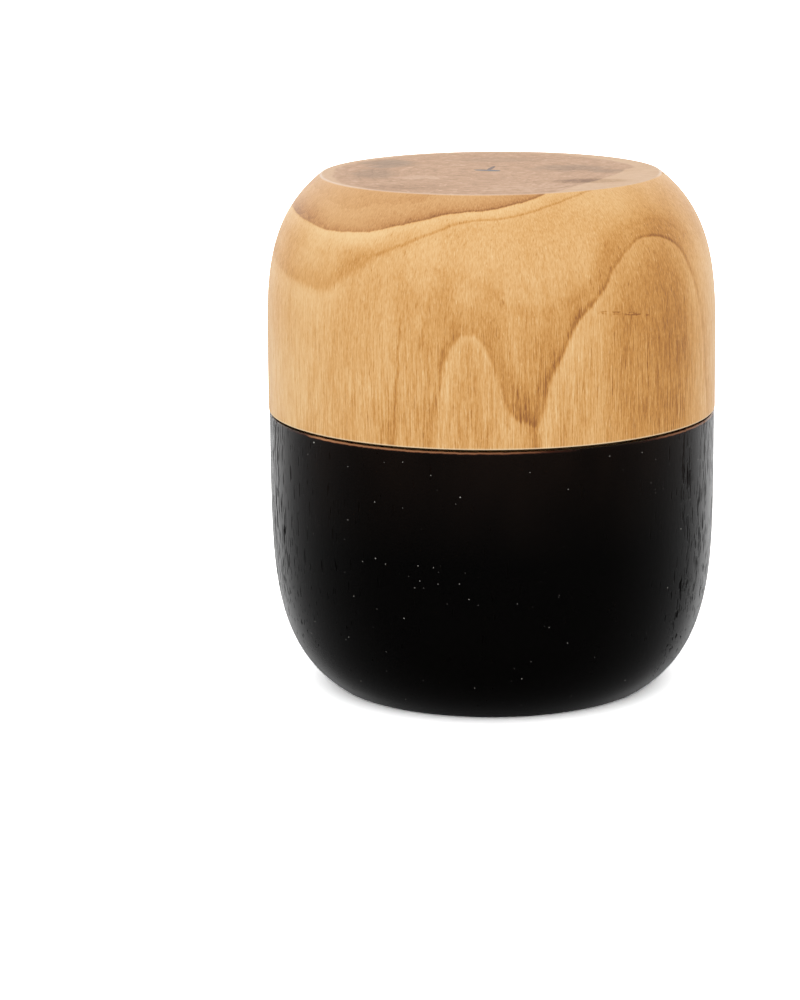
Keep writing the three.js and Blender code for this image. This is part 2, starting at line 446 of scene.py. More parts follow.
wood = {
    "taper": 0.38,
    "coneRange": 0.13,
    "plain": 0.36,                     # how dark the wood is between its lines
    "along": (0.040, 0.072, 0.0, 0.6),             # by radius, how much a fibre follows the shoulder
    "waves": [                         # noise, metres that it moves a ring, degrees that it turns it
        ((0.016, 2.5, 3.0), 0.0014, 1.6),
        ((0.0035, 3.0, 2.0), 0.0006, 1.2),
    ],
    "feather": (0.0008, 10.0, 2.0, 0.6),           # single fibres that reach across a line
    "featherReach": (0.055, 0.090, 0.0022, 0.00044),
    "bandReach": 20,                   # mm on either side of a line
    "thread": (-0.0012, 0.0006, 0.0034),           # where the thin dark line begins, is darkest and ends
    "lines": {
        "heart": {
            "side": [
                (-82, 91.5), (-62.7, 89.4), (-48.5, 87.6), (-41.2, 88.3), (-34.5, 89.4), (-25.3, 92.8),
                (-16.6, 96.1), (-8, 98), (2.9, 99.7), (10.4, 101.8), (17, 104.1), (150, 102), (170, 98),
                (195, 92), (225, 88.5), (250, 90),
            ],
            "foot": [
                (23.9, 71.8), (43.9, 61.3), (63.2, 60.3), (81.5, 66.2), (93.5, 70.6), (110.8, 71.6),
                (128.6, 69.1),
            ],
            "band": [(-16, 0), (-8, -0.12), (-3, -0.22), (-1.2, -0.18), (1.0, 0.16), (3, 0.17), (7, 0.08),
                     (14, 0)],
            "bandStrength": [(-90, 0.8), (-40, 1), (0, 1), (30, 0.5), (100, 0.4), (180, 0.8), (230, 1)],
            "coreStrength": [(-90, 0.05), (-45, 0.12), (0, 0.24), (30, 0.15), (100, 0.12), (230, 0.2)],
        },
        "second": {
            "side": [
                (-85.9, 72.4), (-67.5, 67.3), (-54.5, 63.9), (-48, 63.2), (-38, 72.2), (-30.2, 79.9),
                (-22.2, 85.6), (-14.1, 90.9), (-7.7, 94.2), (5.3, 95.9), (19.8, 100.3), (90, 103.5),
                (120, 100), (150, 93), (180, 85), (210, 77), (240, 79), (262, 75.5),
            ],
            "foot": [(39.7, 74), (71.2, 72.3)],
            "band": [(-12, 0), (-5, -0.05), (-2.2, 0.0), (2.2, 0.20), (4, 0.19), (9, 0.12), (19, 0)],
            "bandStrength": [(-85, 0.8), (-60, 1), (-40, 0.9), (-25, 0.4), (0, 0.2), (40, 0.3), (90, 0.6),
                             (180, 1), (230, 0.8)],
            "coreStrength": [(-85, 0.04), (-60, 0.0), (-40, 0.0), (-25, 0.16), (-10, 0.24), (40, 0.22),
                             (90, 0.2), (180, 0.1), (240, 0.0)],
        },
        "soft": {
            "side": [
                (-60, -30), (-34, -8), (-26, 3), (-24.1, 17.4), (-23.2, 33), (-22.6, 51.4), (-20.5, 62.1),
                (-17.7, 72.3), (-15.5, 74.9), (-10, 74), (-4, 70), (0.3, 65.8), (4.6, 59.1), (10.8, 57.7),
                (20.8, 62.4), (27.2, 71.7), (36, 86.9), (49.5, 91), (61.8, 85.2), (68, 74), (72, 60),
                (76, 30), (79, 0), (100, 5), (118, 52), (135, 76), (150, 60), (164, 33),
                (178, 21), (189, 26), (201, 45), (217, 65), (235, 70), (258, 52), (275, 12),
            ],
            "foot": [],
            "band": [(-12, 0), (-5, 0.03), (-2, 0.12), (0.5, 0.22), (3, 0.16), (7, 0.05), (14, 0)],
            "bandStrength": [(-40, 0.05), (-26, 0.25), (-15, 0.3), (-5, 0.35), (5, 0.55), (22, 0.45),
                             (35, 0.3), (45, 0.4), (62, 0.35), (75, 0.1), (100, 0.5), (140, 0.8), (225, 0.8)],
            "coreStrength": [(-40, 0), (-26, 0.0), (-15, 0), (130, 0), (140, 0.1), (230, 0.1)],
        },
        "bold": {
            "side": [
                (-60, -30), (-24, -26), (-17, -10), (-14.5, 7), (-12.8, 23.9), (-11.5, 36.8), (-9.4, 45),
                (-6.5, 48.3), (-3.6, 47.8), (-0.6, 40.2), (1.9, 28.3), (3.2, 19.8), (5.4, 13.6),
                (9.0, 10.6), (11.0, 9.4), (12.2, 13.5), (14.3, 27.9), (18.1, 42.1), (21.1, 53.2), (27.5, 63),
                (32.6, 73.2), (38.5, 80.9), (45.6, 84.7), (52.6, 83.2), (58.9, 77.2), (61.4, 69.1),
                (64.8, 54), (66.8, 42.5), (70, 12), (74, -10), (86, -30), (104, -20), (114, 8), (124, 40),
                (136, 58), (148, 40), (160, 6), (172, -20), (190, -30), (205, -10), (214, 16), (226, 46),
                (238, 54), (250, 34), (260, 4), (270, -20),
            ],
            "foot": [],
            "band": [(-12, 0), (-4, -0.08), (-1.6, -0.10), (1.4, 0.22), (4, 0.23), (10, 0.14), (19.9, 0)],
            "bandStrength": [(-30, 0), (-15, 0.35), (-6, 0.8), (5, 0.9), (12, 0.8), (20, 0.8), (30, 0.7),
                             (40, 0.5), (50, 0.5), (64, 0.3), (72, 0.1), (90, 0.1), (120, 0.8), (140, 1),
                             (235, 0.9)],
            "coreStrength": [(-30, 0), (-15, 0.06), (-11, 0.2), (-8, 0.12), (-4, 0.04), (5, 0.06), (12, 0.12),
                             (20, 0.28), (28, 0.2), (34, 0.12), (44, 0.2), (56, 0.24), (70, 0.1), (90, 0.1),
                             (140, 0.2), (235, 0.2)],
        },
    },
    "streaks": [                       # degrees, degrees per metre up, half width, lowest, highest, dark
        (-24.9, 46, 0.75, -0.02, 0.062, 0.22),
        (-22.0, 110, 1.0, 0.036, 0.072, 0.12),
        (11.0, -40, 2.2, -0.02, 0.018, 0.22),
        (9.0, 0, 4.5, -0.02, 0.022, 0.20),
        (-52.0, 10, 0.9, -0.02, 0.050, 0.10),
        (30.0, 5, 0.8, -0.02, 0.040, 0.08),
        (131.0, 20, 1.4, -0.02, 0.050, 0.14),
        (198.0, -15, 1.8, -0.02, 0.062, 0.10),
    ],
    # partly the wood's own colour, partly painted light: lighter patches at the far left and down the right
    # edge are painted highlight, darker ones on the right shoulder and the upper right edge painted shade
    "patches": [                       # degrees, height, half its angle, half its height, dark
        (46, 0.040, 26, 0.070, 0.24),
        (44, 0.002, 20, 0.022, 0.13),
        (6.5, 0.019, 5, 0.014, 0.12),
        (-26, 0.045, 6, 0.036, -0.08),
        (80, 0.050, 12, 0.080, -0.12),
        (10.5, 0.036, 8, 0.034, 0.13),
        (-3, 0.022, 8, 0.036, 0.09),
        (20, 0.006, 9, 0.012, 0.02),
        (23, 0.055, 5, 0.010, 0.08),
        (-15, 0.013, 5, 0.012, 0.06),
        (-66, 0.014, 24, 0.040, -0.14),
        (62, 0.022, 7, 0.042, 0.06),
        (80, 0.084, 12, 0.024, 0.12),
        (-6, 0.042, 5, 0.007, 0.07),
        (-36, 0.087, 11, 0.007, -0.12),
        (-17, 0.079, 10, 0.019, -0.16),
        (-68, 0.088, 18, 0.018, 0.16),
        (52, 0.050, 11, 0.080, 0.08),
        (1, 0.082, 20, 0.014, -0.04),
        (-66, 0.040, 42, 0.080, -0.12),
        (68, 0.090, 20, 0.022, 0.12),
        (36, 0.100, 14, 0.008, -0.04),
        (8, 0.066, 15, 0.018, -0.08),
        (150, 0.030, 24, 0.060, 0.16),
        (232, 0.020, 20, 0.050, 0.18),
    ],
    "streakFade": (0.010, 0.012),      # metres at its lower and its upper end
    "patchCore": 0.25,                 # share of a patch, from its middle, that has all of its amount
    "nicks": {                         # a broken row of small ones, level with the rim
        "height": 0.0625,
        "fall": 0.00022,               # metres down for each degree
        "angle": 35,
        "halfAngle": 9,
        "halfHeight": 0.0010,
        "core": 0.4,
        "dark": 0.32,
        "broken": (0.0032, 0.3, 2.0),
        "brokenLimits": (0.47, 0.62),
    },
    "heartEdge": 0.0005,
    "rings": {                         # inside the heart, uneven and darkest on one side
        "spacing": 0.0125,
        "sharpness": 2.5,
        "dark": 0.12,
        "drift": (0.022, 3.0, 3.0, 0.6),
        "driftBy": 0.022,
    },
    "clouds": (0.020, 3.5, 3.0),
    "cloudDark": 0.32,
    "bands": (0.0030, 25.0, 2.0),
    "bandDark": (0.050, 0.085, 0.20, 0.07),
    "fibres": [                        # long ones low on the side, short ones over the shoulder
        ((0.00048, 30.0, 1.0, 0.8), (0.025, 0.070, 1.00, 0.25)),
        ((0.00046, 6.0, 2.0, 0.7), (0.025, 0.070, 0.65, 0.80)),
    ],
    "pores": (0.0005, 14.0, 1.0, 0.5, (3, 1, 2)),
    "poreLimits": (0.64, 0.74),
    "poreDark": 0.20,
    "glints": (0.0004, 8.0, 1.0, 0.5, (7, 5, 1)),
    "glintLimits": (0.66, 0.76),
    "glintDark": -0.28,
    "sapColours": [
        (0.0, (246, 208, 152)), (0.3, (236, 188, 126)), (0.5, (224, 168, 98)), (0.72, (204, 142, 67)),
        (1.0, (158, 98, 45)),
    ],
    "heartColours": [
        (0.0, (238, 193, 138)), (0.35, (222, 170, 112)), (0.6, (204, 146, 88)), (1.0, (150, 97, 56)),
    ],
    "arrisHighlightColour": (252, 228, 188),    # painted highlight: the lower edge made lighter than the side, standing in for light from the floor
    "arrisHighlightFade": (0.0002, 0.0009, 0.7, 0.0),
    "arrisHighlightWidth": 0.002,
    "roughness": (-0.3, 0.3, 0.36, 0.50),          # by fibre
    "ior": 1.45,
    "bump": (0.35, 0.0002),
}

# The foot shows end grain: a pale ring of sapwood round a greyer heart

foot = {
    "from": 0.1,                       # the foot is the flat face above this height
    "blur": 0.0004,
    "edgeRange": 0.1,
    "edge": [                          # where the pale ring starts: degrees, mm from the axis
        (-133, 71), (-110, 71.2), (-90, 69), (-73, 71), (-57, 74), (-40, 75), (0, 75), (20, 74.5), (30, 66),
        (41, 60), (61, 55.5), (83, 56.5), (95, 61), (101, 65.5), (108, 66.5), (126, 66), (140, 68),
        (154, 70.5), (175, 71),
    ],
    "spots": [                         # mm to the right, mm back, half width, half depth, dark, grey
        (-46, 32, 16, 18, 0.12, 0.35),
        (-52, -4, 13, 26, 0.16, 0.2),
        (-30, -17, 14, 10, -0.18, 0.0),
        (-38, -50, 30, 14, 0.14, 0.0),
        (36, 12, 22, 18, 0.16, 0.2),
        (52, 2, 16, 10, 0.14, 0.15),
        (46, -32, 22, 12, 0.42, 0.0),
        (8, -6, 10, 8, -0.10, 0.0),
        (14, -52, 26, 16, -0.08, 0.0),
        (6, 44, 30, 14, 0.06, 0.1),
        (60, -28, 20, 16, -0.05, 0.0),
    ],
    "edgeBlur": (-0.0006, 0.0014),     # metres inside that edge
    "uneven": (0.009, 1.0, 3.0),
    "unevenEdge": 0.005,
    "unevenDark": 0.25,
    "unevenSpot": 1.1,
    "unevenRing": 0.008,
    "plain": 0.36,
    "spotCore": 0.3,
    "ringSpacing": 0.0058,
    "ringSharpness": 3.0,
    "ringDark": 0.10,
    "mottle": [((0.0045, 1.0, 3.0, 0.6), 0.52), ((0.0011, 1.0, 2.0, 0.6), 0.50)],
    "pale": (0.0034, 1.0, 1.0, 0.5, (2, 4, 6)),
    "paleFade": (0.62, 0.72, 0.0, -0.20),          # by noise
    "ringColours": [(0.0, (236, 203, 172)), (0.5, (223, 185, 148)), (1.0, (188, 144, 104))],
    "heartColours": [
        (0.0, (232, 198, 170)), (0.36, (212, 171, 138)), (0.6, (190, 150, 118)), (1.0, (140, 104, 78)),
    ],
    "grey": (150, 142, 132),
    "rougher": 0.25,                   # end grain is rougher than the side
    "edgeHighlight": [                         # degrees, how much painted highlight the foot's rounded edge gets
        (-90, 0.6), (-60, 0.6), (-40, 0.4), (0, 0.3), (20, 0.15), (30, 0.1), (70, 0.1), (84, 0.6),
        (96, 0.6), (110, 0.5), (180, 0.7), (230, 0.6),
    ],
    "edgeHighlightInset": 0.0002,
    "edgeHighlightFade": (0.0002, 0.0009, 1.0, 0.0),       # by distance from the edge
    "edgeHighlightColour": (248, 228, 212),
}


def coneKnots(line):                   # the line as (degrees, distance from the axis less the taper)
    knots = []
    for angle, height in line["side"]:
        height = height / 1000
        knots.append((angle, outsideRadius(upperBowl, height) - wood["taper"] * height))
    for angle, radius in line["foot"]:
        knots.append((angle, radius / 1000 - wood["taper"] * upperBowl["height"]))
    return sorted(knots)


def valueRound(knots, angle):          # straight between the knots, and closed after a full turn
    for turn in (-360, 0, 360):
        for (a, first), (b, second) in zip(knots, knots[1:] + [(knots[0][0] + 360, knots[0][1])]):
            if a <= angle + turn <= b:
                return first + (second - first) * (angle + turn - a) / (b - a)
    return knots[0][1]


def thinning(knots):                   # how much thinner a band is where its line climbs steeply
    closed = knots + [(knots[0][0] + 360, knots[0][1])]
    slopes = []
    for (a, first), (b, second) in zip(closed, closed[1:]):
        slopes.append((second - first) / wood["taper"] / (math.radians(b - a) * upperBowl["rimRadius"]))
    result = []
    for index, (angle, cone) in enumerate(knots):
        bend = (slopes[index - 1] + slopes[index]) / 2
        result.append((angle, 1 / math.hypot(1, bend)))
        result.append(((angle + closed[index + 1][0]) / 2, 1 / math.hypot(1, slopes[index])))
    return result


def roundCurve(tree, place, knots):    # a front and a back half, so that each keeps its detail
    halves = []
    for middle, angle in ((0, place["front"]), (180, place["back"])):
        inner = []
        for knot, value in knots:
            local = (knot - middle + 180) % 360 - 180
            if -89 < local < 89:
                inner.append((local, value))
        ends = [(-90, valueRound(knots, middle - 90)), (90, valueRound(knots, middle + 90))]
        points = sorted(inner + ends)
        spread = remap(tree, angle, -90, 90)
        halves.append(curve(tree, spread, [((a + 90) / 180, value) for a, value in points]))
    backShare = minus(tree, halves[1], halves[0])
    return timesPlus(tree, backShare, place["isBack"], halves[0])


def shadeAcross(tree, across, profile):            # profile is (mm above the line, how dark)
    reach = wood["bandReach"]
    spread = remap(tree, across, -reach / 1000, reach / 1000)
    shade = curve(tree, spread, [((mm / reach + 1) / 2, dark + 0.5) for mm, dark in profile])
    return minus(tree, shade, 0.5)


def growthLine(tree, place, line):     # how dark the line makes a place, and how far inside the line it is
    knots = coneKnots(line)
    cone = roundCurve(tree, place, [(angle, value / wood["coneRange"]) for angle, value in knots])
    thin = roundCurve(tree, place, thinning(knots))
    inside = timesPlus(tree, cone, wood["coneRange"], times(tree, place["cone"], -1.0))
    across = times(tree, calc(tree, "DIVIDE", inside, wood["taper"]), thin)
    band = shadeAcross(tree, across, line["band"])
    band = times(tree, band, roundCurve(tree, place, line["bandStrength"]))
    begins, darkest, ends = wood["thread"]
    core = remap(tree, across, begins, darkest, smooth=True)
    core = times(tree, core, remap(tree, across, darkest, ends, 1.0, 0.0, smooth=True))
    dark = timesPlus(tree, core, roundCurve(tree, place, line["coreStrength"]), band)
    return dark, across, inside


def degreesOf(tree, aside, ahead):
    return calc(tree, "DEGREES", calc(tree, "ARCTAN2", aside, ahead))


def trunkPlace(tree, coords, rim):     # where a point lies in the trunk, with the waviness of real rings
    x, y, z = splitVector(tree, coords)
    radius = lengthOf(tree, x, y)
    height = minus(tree, z, rim)
    spread = minus(tree, calc(tree, "DIVIDE", upperBowl["rimRadius"], radius), 1.0)
    spread = timesPlus(tree, spread, remap(tree, radius, *wood["along"]), 1.0)
    joined = tree.nodes.new("ShaderNodeCombineXYZ")
    feed(tree, joined.inputs[0], times(tree, x, spread))
    feed(tree, joined.inputs[1], times(tree, y, spread))
    feed(tree, joined.inputs[2], z)
    grain = joined.outputs[0]
    cone = timesPlus(tree, height, -wood["taper"], radius)
    swing = 0.0
    for pattern, offCone, offAngle in wood["waves"]:
        wave = ripple(tree, coords, pattern)
        cone = timesPlus(tree, wave, offCone, cone)
        swing = timesPlus(tree, wave, offAngle, swing)
    reach = remap(tree, height, *wood["featherReach"])
    cone = timesPlus(tree, ripple(tree, grain, wood["feather"]), reach, cone)
    return {
        "x": x,
        "y": y,
        "grain": grain,
        "height": height,
        "radius": radius,
        "cone": cone,
        "front": plus(tree, degreesOf(tree, x, times(tree, y, -1.0)), swing),
        "back": plus(tree, degreesOf(tree, times(tree, x, -1.0), y), swing),
        "isBack": calc(tree, "GREATER_THAN", y, 0.0),
    }


def angleFrom(tree, place, angle):     # degrees of a place from a given angle, on the nearer half
    if -90 <= angle <= 90:
        return minus(tree, place["front"], angle)
    return minus(tree, place["back"], (angle + 360) % 360 - 180)


def streakDark(tree, place, streak):
    angle, lean, halfWidth, lowest, highest, dark = streak
    off = timesPlus(tree, place["height"], -lean, angleFrom(tree, place, angle))
    shade = remap(tree, calc(tree, "ABSOLUTE", off), 0.0, halfWidth, dark, 0.0, smooth=True)
    atTop = remap(tree, place["height"], highest, highest - wood["streakFade"][1], smooth=True)
    atBottom = remap(tree, place["height"], lowest, lowest + wood["streakFade"][0], smooth=True)
    return times(tree, times(tree, shade, atTop), atBottom)


def patchAmount(tree, place, patch):
    angle, height, halfAngle, halfHeight, amount = patch
    across = calc(tree, "DIVIDE", angleFrom(tree, place, angle), halfAngle)
    up = calc(tree, "DIVIDE", minus(tree, place["height"], height), halfHeight)
    return remap(tree, lengthOf(tree, across, up), wood["patchCore"], 1.0, amount, 0.0, smooth=True)


def nickDark(tree, place, coords):
    nicks = wood["nicks"]
    half = nicks["halfHeight"]
    level = timesPlus(tree, place["front"], nicks["fall"], place["height"])
    level = calc(tree, "ABSOLUTE", minus(tree, level, nicks["height"]))
    dark = remap(tree, level, half * nicks["core"], half, nicks["dark"], 0.0, smooth=True)
    within = calc(tree, "COMPARE", place["front"], nicks["angle"], nicks["halfAngle"])
    broken = remap(tree, noise(tree, coords, *nicks["broken"]), *nicks["brokenLimits"], smooth=True)
    return times(tree, times(tree, dark, within), broken)


def figureAndShadeDark(tree, place, coords):   # how dark the figure and the painted shade and highlight of some patches make a place, and whether it is heartwood
    heartDark, heartAcross, heartInside = growthLine(tree, place, wood["lines"]["heart"])
    dark = plus(tree, heartDark, wood["plain"])
    for line in ("second", "soft", "bold"):
        dark = plus(tree, dark, growthLine(tree, place, wood["lines"][line])[0])
    for streak in wood["streaks"]:
        dark = plus(tree, dark, streakDark(tree, place, streak))
    # patches: the wood's own colour, and painted shade and highlight
    for patch in wood["patches"]:
        dark = plus(tree, dark, patchAmount(tree, place, patch))
    dark = plus(tree, dark, nickDark(tree, place, coords))
    heart = remap(tree, heartAcross, -wood["heartEdge"], wood["heartEdge"], smooth=True)
    rings = wood["rings"]
    fromHeart = timesPlus(tree, ripple(tree, coords, rings["drift"]), rings["driftBy"], heartInside)
    ring = calc(tree, "FRACT", calc(tree, "DIVIDE", fromHeart, rings["spacing"]))
    ring = calc(tree, "POWER", minus(tree, 1.0, ring), rings["sharpness"])
    ring = times(tree, ring, rings["dark"])
    return timesPlus(tree, ring, heart, dark), heart


def footColour(tree, place, coords):
    edge = roundCurve(tree, place, [(angle, mm / 1000 / foot["edgeRange"]) for angle, mm in foot["edge"]])
    uneven = ripple(tree, coords, foot["uneven"])
    radius = timesPlus(tree, uneven, foot["unevenEdge"], place["radius"])
    inside = timesPlus(tree, edge, foot["edgeRange"], times(tree, radius, -1.0))
    heart = remap(tree, inside, *foot["edgeBlur"], smooth=True)
    dark = timesPlus(tree, uneven, foot["unevenDark"], foot["plain"])
    grey = 0.0
    for x, y, halfWidth, halfDepth, darker, greyer in foot["spots"]:
        across = timesPlus(tree, place["x"], 1000 / halfWidth, -x / halfWidth)
        along = timesPlus(tree, place["y"], 1000 / halfDepth, -y / halfDepth)
        away = timesPlus(tree, uneven, foot["unevenSpot"], lengthOf(tree, across, along))
        spot = remap(tree, away, foot["spotCore"], 1.0, 1.0, 0.0, smooth=True)
        dark = timesPlus(tree, spot, darker, dark)
        grey = timesPlus(tree, spot, greyer, grey)
    ring = timesPlus(tree, uneven, foot["unevenRing"], inside)
    ring = calc(tree, "FRACT", calc(tree, "DIVIDE", ring, foot["ringSpacing"]))
    ring = calc(tree, "POWER", ring, foot["ringSharpness"])
    dark = timesPlus(tree, ring, times(tree, heart, foot["ringDark"]), dark)
    for pattern, strength in foot["mottle"]:
        dark = timesPlus(tree, ripple(tree, coords, pattern), strength, dark)
    dark = plus(tree, dark, remap(tree, noise(tree, coords, *foot["pale"]), *foot["paleFade"]))
    ringColour = ramp(tree, dark, colourStops(foot["ringColours"]))
    heartColour = ramp(tree, dark, colourStops(foot["heartColours"]))
    heartColour = mixColour(tree, grey, heartColour, fromScreen(*foot["grey"]))
    return mixColour(tree, heart, ringColour, heartColour)


def naturalWood(name, rim, turned=0.0):            # another block of wood is the same figure turned
    material, tree, shader = newMaterial(name)
    coords = mapped(tree, objectCoords(tree), turned=turned)
    place = trunkPlace(tree, coords, rim)
    dark, heart = figureAndShadeDark(tree, place, coords)

    # clouds, bands, fibres and pores along the grain
    dark = timesPlus(tree, ripple(tree, coords, wood["clouds"]), wood["cloudDark"], dark)
    band = ripple(tree, place["grain"], wood["bands"])
    dark = timesPlus(tree, band, remap(tree, place["height"], *wood["bandDark"]), dark)
    fibre = 0.0
    for pattern, fade in wood["fibres"]:
        strength = remap(tree, place["height"], *fade)
        fibre = timesPlus(tree, ripple(tree, place["grain"], pattern), strength, fibre)
    dark = plus(tree, dark, fibre)
    pore = remap(tree, noise(tree, place["grain"], *wood["pores"]), *wood["poreLimits"], smooth=True)
    dark = timesPlus(tree, pore, wood["poreDark"], dark)
    glint = remap(tree, noise(tree, place["grain"], *wood["glints"]), *wood["glintLimits"], smooth=True)
    dark = timesPlus(tree, glint, wood["glintDark"], dark)

    # side, painted highlight on the lower edge, foot, and painted highlight on the rounded edge of the foot
    sap = ramp(tree, dark, colourStops(wood["sapColours"]))
    core = ramp(tree, dark, colourStops(wood["heartColours"]))
    colour = mixColour(tree, heart, sap, core)
    # painted highlight along the lower edge
    outer = calc(tree, "GREATER_THAN", place["radius"], upperBowl["rimRadius"] - wood["arrisHighlightWidth"])
    lowerEdgeHighlight = times(tree, remap(tree, place["height"], *wood["arrisHighlightFade"], smooth=True), outer)
    colour = mixColour(tree, lowerEdgeHighlight, colour, fromScreen(*wood["arrisHighlightColour"]))
    high = calc(tree, "GREATER_THAN", place["height"], foot["from"])
    edge, blur = upperBowl["footRadius"], foot["blur"]
    onFoot = times(tree, remap(tree, place["radius"], edge + blur, edge - blur, smooth=True), high)
    colour = mixColour(tree, onFoot, colour, footColour(tree, place, coords))
    # painted highlight: a pale line along the foot's rounded edge, standing in for its reflection
    offEdge = calc(tree, "ABSOLUTE", minus(tree, place["radius"], edge - foot["edgeHighlightInset"]))
    edgeHighlight = times(tree, remap(tree, offEdge, *foot["edgeHighlightFade"], smooth=True), high)
    edgeHighlight = times(tree, edgeHighlight, roundCurve(tree, place, foot["edgeHighlight"]))
    colour = mixColour(tree, edgeHighlight, colour, fromScreen(*foot["edgeHighlightColour"]))
    feed(tree, shader.inputs["Base Color"], colour)
    polish = remap(tree, fibre, *wood["roughness"])
    feed(tree, shader.inputs["Roughness"], timesPlus(tree, onFoot, foot["rougher"], polish))
    shader.inputs["IOR"].default_value = wood["ior"]
    addBump(tree, shader, timesPlus(tree, pore, -1.0, fibre), wood["bump"])
    return material


# Blackened wood: a thin stain over open pores that rubs through to brown along the rim's arris, that brown
# partly painted highlight

stain = {
    "black": (6, 4, 3),
    "warm": (34, 19, 9),
    "warmFade": (0.0, 0.05, 1.0, 0.0),             # by distance below the rim's top
    "warmCloud": (0.03, 2.0),
    "brown": (184, 130, 88),
    "brownEdge": (84, 34, 14),
    "rubbedAndLit": [                        # degrees, how much: real wear together with painted highlight, brightest at the front, darker brown at the far left where the arris lies in shade
        (-90, 0.1), (-66, 0.2), (-58, 0.25), (-54, 0.4), (-50, 0.9), (-46, 1.0), (-40, 0.85), (-24, 0.8),
        (-10, 0.7), (7, 0.55), (14, 0.3), (20, 0.1), (24, 0.0), (38, 0.05), (46, 0.4), (56, 0.6), (74, 0.6),
        (90, 0.3), (140, 0.8), (180, 0.2), (230, 0.7),
    ],
    "rubbedFrom": (0.0002, 0.0006),    # by distance below the rim's top
    "rubbedTo": (0.0009, 0.0015, 1.0, 0.0),
    "rubbedOuter": (0.0012, 0.0006),   # by distance inwards from the rim's outer edge
    "ragged": (0.004, 1.0, 3.0),
    "raggedBy": 0.0008,
    "fringe": (0.0, 0.5),              # how much wear and painted highlight turn the stain dark brown, then bare
    "bare": (0.3, 1.0),
    "dusty": [                         # degrees, height, half its angle, half its height, how much
        (-12, -0.018, 8, 0.014, 0.5),
        (-13, -0.058, 12, 0.014, 1.0),
        (12, -0.066, 9, 0.020, 0.9),
        (9, -0.093, 8, 0.008, 0.9),
    ],
    "dustCloud": (0.024, 1.0, 3.0),
    "dustCloudFade": (0.48, 0.68, 0.0, 0.5),       # by noise
    "specks": [                        # distance apart, share of them where dusty, how bright, half width
        (0.0070, 0.40, 4.0, 0.00018),
        (0.0020, 0.75, 2.0, 0.00010),
    ],
    "speckBlur": 0.00014,
    "speckLeast": 0.04,                # share of the specks that lie outside the dusty places
    "speckUneven": 6.0,
    "dustColour": (200, 198, 190),
    "crowded": [                       # degrees, share of the cells that hold a pore
        (-90, 0.6), (-78, 0.85), (-66, 0.65), (-56, 0.35), (-45, 0.2), (-30, 0.1), (30, 0.04), (50, 0.06),
        (55, 0.25), (56.5, 1.0), (60, 1.0), (62, 0.5), (66, 0.95), (69, 0.8), (75, 0.85), (80, 0.6),
        (90, 0.45), (120, 0.2), (150, 0.6), (185, 0.1), (230, 0.6),
    ],
    "crowdCloud": (0.010, 5.0, 2.0),
    "crowdCloudFade": (0.35, 0.60, 0.25, 1.0),     # by noise
    "crowdLow": (-0.098, -0.074, 0.3, 1.0),
    "pores": [(0.0013, 0.018), (0.0010, 0.013), (0.0008, 0.008)],      # width and length of a pore's cell
    "poreWidth": (0.20, 0.34),         # share of its cell, from the narrowest to the widest
    "poreWider": (0.4, 1.0, 0.9, 1.25),            # by how crowded they are
    "poreSide": 0.03,
    "fibres": (0.0009, 10.0, 3.0),
    "fibreHeight": 0.12,
    "bump": (0.8, 0.0005),
    "roughness": 0.7,
    "specular": 0.04,
    "coatRoughness": 0.27,
    "coatIor": 1.5,
}


